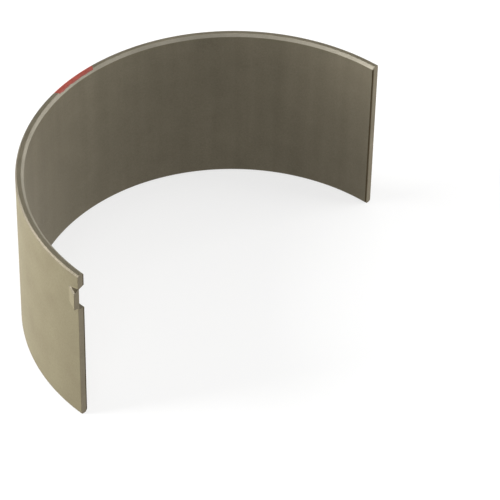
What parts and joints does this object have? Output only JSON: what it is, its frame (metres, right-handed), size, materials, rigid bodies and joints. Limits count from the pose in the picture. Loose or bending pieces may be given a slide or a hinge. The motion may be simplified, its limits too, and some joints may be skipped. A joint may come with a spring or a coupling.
{
  "type": "engine bearing shell",
  "caption": "Plain half shell of a split engine bearing: a thin bent metal half ring with chamfered edges and a pressed-out locating lug at one parting face.",
  "frame": {"origin": "on the shaft axis, at the middle of the shell's width", "axes": "+Z along the shaft, +Y towards the crown of the shell, the parting faces beside the X axis and the locating lug on the -X end, nearer the upper side"},
  "size_m": [0.1049, 0.0506, 0.0442],
  "materials": {
    "plated_steel": "matte tin-flashed bimetal strip, fine machined edges"
  },
  "bodies": {
    "root": {"bearing_shell": "plated_steel"}
  },
  "joints": []
}
